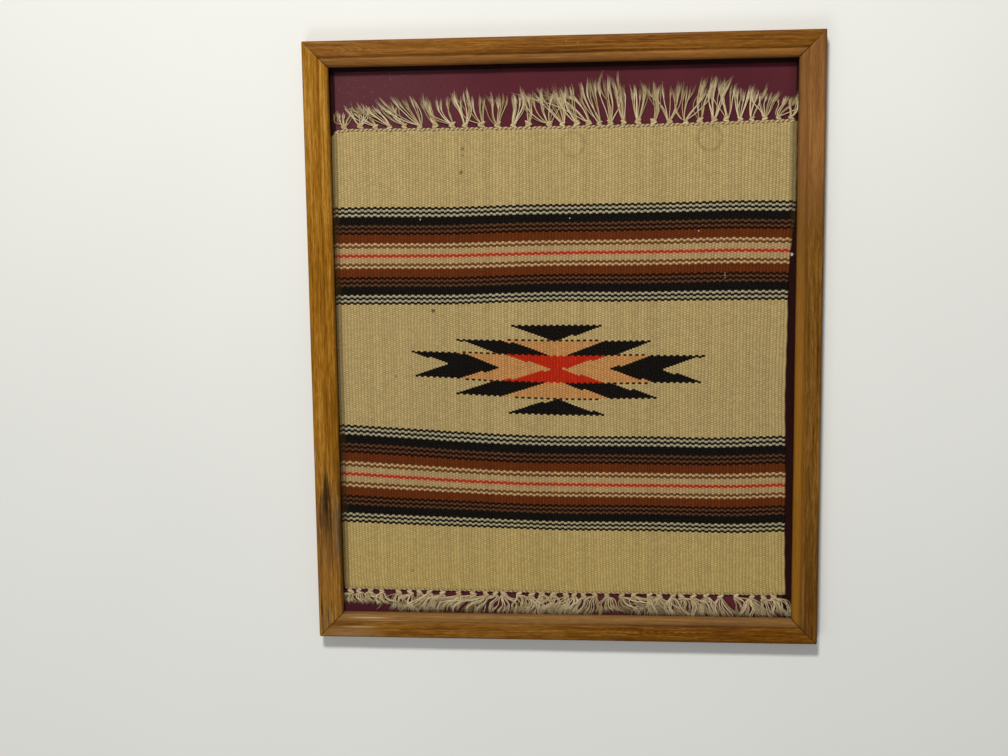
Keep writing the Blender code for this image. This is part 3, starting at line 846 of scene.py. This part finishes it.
def wool():
    """Weft-faced plain weave. The attribute weave is the rib and the pick of a point."""
    paint = Paint("woven_wool", 0.92, specular=0.03)
    position = paint.position()
    rib, pick, _ = paint.split(paint.attribute("weave"))
    rib_index, shown, round_up, round_across = weave_height(paint, rib, pick)
    middle = paint.add(shown, 0.5)
    tan = srgb(203, 177, 120)
    black = srgb(24, 19, 15)
    cream = srgb(184, 173, 140)
    dark = srgb(36, 13, 4)
    brown = srgb(98, 64, 42)
    umber = srgb(116, 72, 30)
    rust = srgb(112, 53, 19)
    peach = srgb(208, 171, 124)
    beige = srgb(196, 166, 118)
    pink = srgb(218, 138, 96)
    scarlet = srgb(184, 54, 32)
    red = srgb(206, 46, 20)
    motif_peach = srgb(214, 154, 92)
    distances = [paint.math("ABSOLUTE", paint.add(middle, -centre)) for centre in BAND_CENTRES]
    out = paint.times(paint.math("MINIMUM", *distances), 1 / BAND_REACH)
    # Each stripe of a band: the pick, counted from the band's middle, where it begins, and its colour
    stripes = (
        (0, scarlet), (1, pink), (2, beige), (7, umber), (9, peach), (11, rust), (19, dark), (21, brown),
        (23, dark), (25, brown), (27, black), (35, cream), (37, black), (39, cream), (41, black), (43, tan),
    )
    ground = paint.ramp(out, [(start / BAND_REACH, colour) for start, colour in stripes], "CONSTANT")
    rise = paint.add(middle, -MOTIF_PICK)
    beside = paint.math("ABSOLUTE", paint.add(rib_index, 0.5 - MOTIF_RIB))
    level = paint.math("ABSOLUTE", rise)
    extra = paint.times(paint.math("LESS_THAN", rise, 0.0), LOWER_EXTRA)
    second_end = paint.add(extra, FIRST_ROW + SECOND_ROW)
    second = paint.math("GREATER_THAN", level, FIRST_ROW)
    third = paint.math("GREATER_THAN", level, second_end)
    into = paint.math("SUBTRACT", level, paint.times(second, FIRST_ROW))
    into = paint.math("SUBTRACT", into, paint.times(third, paint.add(extra, SECOND_ROW)))
    slope = paint.add(SLOPE, paint.times(second, -SECOND_SLOPE_LESS))
    zone = paint.math("SUBTRACT", beside, paint.times(into, slope))
    waist = paint.math("SUBTRACT", zone, paint.times(into, RED_SLOPE_MORE))
    waist = paint.math("LESS_THAN", waist, RED_HALF_WIDTH)
    zone = paint.add(zone, paint.add(paint.times(second, SECOND_START), paint.times(third, THIRD_START)))
    dashed = paint.times(paint.math("LESS_THAN", into, DASHED_PICKS), second)
    dashed = paint.times(dashed, paint.math("LESS_THAN", zone, DASHED_HALF_WIDTH))
    dashed = paint.times(dashed, paint.math("GREATER_THAN", zone, PEACH_HALF_WIDTH))
    # The third row is black right across
    zone = paint.math("MAXIMUM", zone, paint.times(third, PEACH_HALF_WIDTH + 0.6))
    figure = paint.mix(paint.math("GREATER_THAN", zone, PEACH_HALF_WIDTH), motif_peach, black)
    figure = paint.mix(paint.times(waist, paint.rest(second)), figure, red)
    narrower = paint.add(paint.times(second, -SECOND_LESS), paint.times(third, -THIRD_LESS))
    width = paint.add(BLACK_HALF_WIDTH, narrower)
    inside = paint.math("LESS_THAN", zone, width)
    inside = paint.times(inside, paint.math("LESS_THAN", level, paint.add(second_end, THIRD_ROW)))
    colour = paint.mix(inside, ground, figure)
    thin = paint.math("GREATER_THAN", round_up, 0.35)
    colour = paint.mix(paint.times(dashed, thin), colour, srgb(44, 22, 12))
    cell = paint.chance(paint.join(rib_index, shown, 0.0))
    line = paint.noise(paint.join(paint.times(rib, 0.05), middle, 0.0), scale=0.9, detail=1.0)
    strip = paint.chance(paint.join(rib_index, 0.0, 7.0))
    mottle = paint.noise(position, scale=22.0, detail=4.0, roughness=0.6)
    fuzz = paint.noise(position, scale=1300.0, detail=2.0)
    tone = paint.add(paint.times(cell, 0.18), paint.add(paint.times(line, 0.06), paint.times(strip, 0.12)))
    tone = paint.add(tone, paint.add(paint.times(mottle, 0.05), paint.times(fuzz, 0.30)))
    # Painted shade: the colour is darker in the valleys between the ribs and between the picks
    raised = paint.add(paint.times(round_up, 0.9), 0.1)
    between = paint.times(raised, paint.add(paint.times(round_across, 0.85), 0.15))
    tone = paint.times(paint.add(tone, 0.665), paint.add(paint.times(between, 0.54), 0.535))
    colour = paint.shade(colour, tone)
    low = paint.step(paint.split(position)[1], -0.12, -0.26)
    colour = paint.mix(low, colour, paint.join(1.07, 1.05, 0.88), "MULTIPLY")
    colour = wool_stains_and_shade(paint, position, colour)
    paint.feed(paint.shader.inputs["Base Color"], colour)
    ply = paint.math("SINE", paint.add(paint.times(rib, 16.0), paint.times(pick, 7.0)))
    relief = paint.add(between, paint.add(paint.times(ply, 0.08), paint.times(fuzz, 0.35)))
    paint.bump(relief, 0.0005, 0.8)
    return paint.material


def wool_stains_and_shade(paint, position, colour):
    """Small dark spots, two rings left by wet cups, lint, and a painted shade cast by the rails along the
    two selvedges.
    """
    ragged = paint.noise(position, scale=700.0, detail=2.0)
    shift = paint.scaled(paint.join(ragged, ragged, 0.0), (0.0015, 0.0015, 0))
    warped = paint.vector("ADD", position, shift)
    # Each spot: place across and height in mm, radius in mm and depth
    spots = (
        (-105, 213, 3.0, 0.55), (-105, 206, 2.2, 0.5), (-107, 188, 3.0, 0.6), (-140, 39, 3.2, 0.8),
        (-183, -33, 2.2, 0.4), (-169, -252, 2.4, 0.4), (45, 216, 2.2, 0.3), (60, 46, 2.0, 0.3),
    )
    for x, y, radius, depth in spots:
        mask = paint.spot(warped, (x * MM, y * MM), radius * MM, 0.7)
        colour = paint.mix(paint.times(mask, depth), colour, srgb(70, 52, 34))
    for x, y, depth in ((13, 216, 0.22), (158, 220, 0.34)):
        outer = paint.spot(warped, (x * MM, y * MM), 15.5 * MM, 0.2)
        inner = paint.spot(warped, (x * MM, y * MM), 12.5 * MM, 0.25)
        ring = paint.math("SUBTRACT", outer, inner)
        colour = paint.mix(paint.times(ring, depth), colour, srgb(120, 96, 60))
    lint = (
        (61, -152, 1.0), (-153, 137.5, 1.1), (174, 77, 0.8), (174, 74.5, 0.9), (174, 72, 0.8),
        (146, 122, 1.1), (9, 137, 1.0),
    )
    for x, y, radius in lint:
        mask = paint.spot(position, (x * MM, y * MM), radius * MM, 0.5)
        colour = paint.mix(paint.times(mask, 0.8), colour, srgb(206, 196, 176))
    # Painted shade: the mat is darkened in brown within a few mm of the rails, where their shadow falls
    beside = paint.add(paint.math("ABSOLUTE", paint.split(position)[0]), -SIGHT_HALF_WIDTH)
    rail_shade = paint.times(paint.step(beside, -7.5 * MM, -5.0 * MM), 0.46)
    rail_shade = paint.add(rail_shade, paint.times(paint.step(beside, -3.2 * MM, -1.0 * MM), 0.26))
    return paint.mix(rail_shade, colour, srgb(60, 42, 12))


def make_cloth():
    shape = Shape("mat", "weave")
    points, values = cloth_surface()
    shape.grid(points, values)
    return shape.finish(wool(), "textile")


# Fringe


def cotton():
    """Soft two-ply yarn. The attribute yarn is turns round it, distance along it and a tint."""
    paint = Paint("warp_cotton", 0.9, specular=0.1)
    turn, along, tint = paint.split(paint.attribute("yarn"))
    position = paint.position()
    twist = paint.math("SINE", paint.add(paint.times(turn, 2 * math.tau), paint.times(along, 3600.0)))
    fuzz = paint.noise(position, scale=1500.0, detail=2.0)
    tone = paint.add(paint.add(paint.times(tint, 0.40), paint.times(fuzz, 0.25)), paint.times(twist, 0.05))
    shades = ((0.0, srgb(142, 116, 76)), (0.25, srgb(190, 165, 120)), (0.5, srgb(236, 218, 178)))
    paint.feed(paint.shader.inputs["Base Color"], paint.ramp(tone, shades))
    paint.bump(paint.add(twist, fuzz), 0.0001, 0.7)
    return paint.material


def twine(shape, across, line, side, swell, radius, tint, swing):
    """Two strands twisted about each other along an end of the mat, bulging between the knots."""
    for strand in range(2):
        turn = across * 2 * math.pi / TWINE_PITCH + math.pi * strand
        y = line + side * (swell + swing * np.sin(turn))
        z = TWINE_MIDDLE + 0.3 * MM * np.cos(turn)
        shape.tube(np.stack([across, y, z], 1), radius, tint=tint + 0.9 * strand)


def knot(shape, place, edge, side, neck, rng):
    """Warp ends gathered and tied: four ends of a neck, a core and two slanting turns round it."""
    lean = rng.uniform(-0.9, 0.9) * MM
    size = rng.uniform(0.9, 1.25)
    part = np.linspace(0, 1, 6)
    closing = 1 - (1 - part) ** 2.2
    for end in (-1, -0.35, 0.35, 1):
        x = place + end * (3.4 - 2.3 * closing) * MM + lean * part
        y = edge + side * (-0.4 * MM + (neck + 1.2 * MM) * part)
        shape.tube(np.stack([x, y, KNOT_MIDDLE + 0 * part], 1), 0.75 * MM, tint=rng.uniform(0.1, 0.6))
    out = neck + np.array((-0.2, 0.6, 1.8, 3.2, 4.4, 5.2)) * MM * size
    core = np.stack([place + lean * (1 + 0.2 * part), edge + side * out, np.full(6, KNOT_MIDDLE)], 1)
    radii = np.array((1.2, 2.2, 2.7, 2.7, 2.3, 1.4)) * MM * size
    shape.tube(core, radii, sides=8, tint=rng.uniform(0.0, 0.3), flat=0.44)
    turns = np.arange(16) * 2 * math.pi / 16
    tilt = rng.choice((-1, 1))
    for offset, slant, thick in ((1.1, 0.35, 1.1), (3.6, -0.45, 1.0)):
        wide = rng.uniform(2.1, 2.6) * MM * size
        slant *= tilt * rng.uniform(0.7, 1.3)
        loop = np.stack([
            place + lean * 1.1 + wide * np.cos(turns),
            edge + side * (neck + offset * size * MM) + slant * wide * np.cos(turns),
            KNOT_MIDDLE + 0.5 * MM * np.sin(turns),
        ], 1)
        outward = np.stack([np.cos(turns), 0 * turns, np.sin(turns)], 1)
        shape.tube(loop, thick * MM, up=outward, tint=rng.uniform(0.35, 0.8), closed=True)


def frayed(shape, path, fibres, rng, first, spread, radius, tip):
    """A yarn that from the share first of its length on thins out to the share tip and sheds fibres."""
    count = len(path)
    part = np.linspace(0, 1, count)
    tint = rng.uniform(-0.1, 1.1)
    radii = radius * np.interp(part, (0, first, 0.85, 1), (1.0, 1.0, tip, 0.08))
    shape.tube(path, radii, sides=5, tint=tint)
    beyond = path[-1] + (path[-1] - path[-2]) * np.array((1, 2, 3))[:, None]
    longer = np.concatenate([path, beyond])
    grow = np.linspace(0, 1, 6)
    for _ in range(fibres):
        start = rng.uniform(first, 0.8) * (count - 1)
        stop = rng.uniform(0.84, 1.15) * (count - 1)
        places = start + (stop - start) * grow
        line = np.stack([np.interp(places, np.arange(len(longer)), longer[:, axis]) for axis in range(3)], 1)
        heading = line[-1] - line[0]
        heading /= np.linalg.norm(heading)
        swing = rng.uniform(-1, 1) * spread
        bulge = swing * (grow ** 1.2 + 0.4 * np.sin(math.pi * grow))
        line[:, 0] += heading[1] * bulge
        line[:, 1] -= heading[0] * bulge
        height = line[:, 2] + rng.uniform(-0.5, 0.5) * MM * grow
        line[:, 2] = np.clip(height, FIBRE_LOWEST, FIBRE_HIGHEST)
        thin = np.array((0.26, 0.26, 0.23, 0.18, 0.11, 0.03)) * MM
        shape.tube(line, thin, sides=3, tint=tint + rng.uniform(-0.4, 0.4))


def course(angle, x, y, side, out, layer, rate):
    """A yarn from x and y: its steps take the angles given and reach the distance out in all."""
    across = np.concatenate([[0], np.cumsum(np.sin(angle[:-1]))])
    along = np.concatenate([[0], np.cumsum(np.cos(angle[:-1]))])
    scale = out / max(along[-1], 1)
    part = np.linspace(0, 1, len(angle))
    height = KNOT_MIDDLE + (layer - KNOT_MIDDLE) * np.minimum(1, rate * part)
    return np.stack([x + across * scale, y + side * along * scale, height], 1)


def yarn_path(place, edge, start, lean, share, fan, bow, reach, layer, wobble):
    """A yarn from its knot: it spreads, turns back along the tuft's lean and bows."""
    part = np.linspace(0, 1, TOP_STEPS)
    angle = share * math.radians(fan) / 2 * (1.7 - 1.25 * part)
    angle = angle + math.radians(lean) * (1.25 - 0.4 * part) + math.radians(bow) * part ** 2
    angle = angle + wobble[0] * np.sin(part * wobble[1] + wobble[2])
    angle = np.clip(angle, -1.3, 1.3)
    return course(angle, place + share * 1.7 * MM, edge + start, 1, reach - start, layer, 1.5)


def swelling(across, places):
    """How far the edge bulges out at each place across: most half way between two knots."""
    places = np.asarray(places, float)
    after = np.clip(np.searchsorted(places, across), 1, len(places) - 1)
    low, high = places[after - 1], places[after]
    part = np.clip((across - low) / (high - low), 0, 1)
    return 1.1 * MM * np.sin(math.pi * part)


def squashed_path(place, edge, start, share, sway, turn_back, reach, layer, curl):
    """A yarn too long for its gap: it leaves the knot, sweeps sideways, curls and turns back to the rail."""
    part = np.linspace(0, 1, BOTTOM_STEPS)
    late = np.clip(part + 0.14 * share * math.copysign(1, sway), 0, 1)
    angle = math.radians(sway) * np.sin(math.pi * np.minimum(1, 0.20 + 0.72 * late))
    angle = angle + share * (0.26 + 0.40 * (1 - part)) + math.radians(turn_back) * part ** 2
    angle = angle + curl[0] * np.sin(part * curl[1] + curl[2])
    angle = np.clip(angle, -1.45, 1.45)
    return course(angle, place + share * 2.3 * MM, edge - start, -1, reach - start, layer, 2)


def make_top_fringe(material):
    rng = random.Random(11)
    shape = Shape("top_fringe", "yarn")
    places = [tuft[0] * MM for tuft in TOP_TUFTS]
    across = np.arange(*TOP_TWINE, TWINE_STEP)
    twine(shape, across, head_line(across), 1, swelling(across, places), 0.85 * MM, -0.3, 0.8 * MM)
    for number, (place, lean, reach, fan, bow) in enumerate(TOP_TUFTS):
        place *= MM
        edge = float(head_line(place))
        neck = rng.uniform(1.2, 2.4) * MM
        knot(shape, place, edge, 1, neck, rng)
        layer = LAYERS[number % 2]
        locks = (-0.85, 0.1, 0.9) if fan > 30 else (-0.6, 0.6)
        wave = (rng.uniform(0.1, 0.28), rng.uniform(2.5, 6), rng.uniform(0, 6))
        for yarn in range(TOP_YARNS):
            share = locks[yarn % len(locks)] + rng.uniform(-0.5, 0.5)
            length = reach * MM * rng.uniform(0.84, 0.99)
            wild = 2.5 if rng.random() < 0.2 else 1.0
            wobble = (wild * wave[0] * rng.uniform(0.5, 1.2), wave[1], wave[2] + rng.uniform(-0.7, 0.7))
            high = layer + rng.uniform(-0.4, 0.4) * MM
            bend = bow * rng.uniform(0.4, 1.5)
            path = yarn_path(place, edge, neck + KNOT_LENGTH, lean, share, fan, bend, length, high, wobble)
            frayed(shape, path, TOP_FIBRES, rng, 0.5, 1.5 * MM, 0.52 * MM, 0.55)
    return shape.finish(material, "fringe_top")


def make_bottom_fringe(material):
    rng = random.Random(23)
    shape = Shape("bottom_fringe", "yarn")
    places = [tuft[0] * MM for tuft in BOTTOM_TUFTS]
    across = np.arange(*BOTTOM_TWINE, TWINE_STEP)
    bulges = 0.5 * swelling(across, places) - 0.5 * MM
    twine(shape, across, tail_line(across), -1, bulges, 0.55 * MM, -0.35, 0.5 * MM)
    for number, (place, sway, turn_back, reach) in enumerate(BOTTOM_TUFTS):
        place *= MM
        edge = float(tail_line(place))
        neck = rng.uniform(0.1, 2.4) * MM
        knot(shape, place, edge, -1, neck, rng)
        layer = LAYERS[number % 2]
        wave = (rng.uniform(0.3, 0.8), rng.uniform(4.5, 8.5), rng.uniform(0, 6))
        for yarn in range(BOTTOM_YARNS):
            share = 2.3 * yarn / (BOTTOM_YARNS - 1) - 1.15 + rng.uniform(-0.2, 0.2)
            drop = (reach + 0.6) * MM * rng.uniform(0.92, 1.02)
            high = layer + rng.uniform(-0.45, 0.45) * MM
            bend = sway + rng.uniform(-10, 10)
            back = turn_back + rng.uniform(-10, 10)
            curl = (wave[0] * rng.uniform(0.7, 1.3), wave[1], wave[2] + rng.uniform(-0.5, 0.5))
            path = squashed_path(place, edge, neck + KNOT_LENGTH, share, bend, back, drop, high, curl)
            frayed(shape, path, BOTTOM_FIBRES, rng, 0.35, 1.9 * MM, 0.58 * MM, 0.6)
    return shape.finish(material, "fringe_bottom")


# Floor


def make_floor():
    paint = Paint("pale_floor", 0.7)
    cloud = paint.noise(paint.position(), scale=3.0, detail=2.0)
    shades = ((0.2, srgb(244, 244, 238)), (0.8, srgb(249, 249, 243)))
    paint.feed(paint.shader.inputs["Base Color"], paint.ramp(cloud, shades))
    mesh = bpy.data.meshes.new("floor")
    half = 4.0
    corners = [(-half, -half, 0), (half, -half, 0), (half, half, 0), (-half, half, 0)]
    mesh.from_pydata(corners, [], [(0, 1, 2, 3)])
    mesh.materials.append(paint.material)
    floor = bpy.data.objects.new("floor", mesh)
    floor.location.z = -0.2 * MM
    bpy.context.collection.objects.link(floor)


def main():
    make_camera()
    make_studio()
    make_floor()
    make_rails()
    dress_panes()
    mat = make_cloth()
    yarn = cotton()
    top = make_top_fringe(yarn)
    bottom = make_bottom_fringe(yarn)


main()
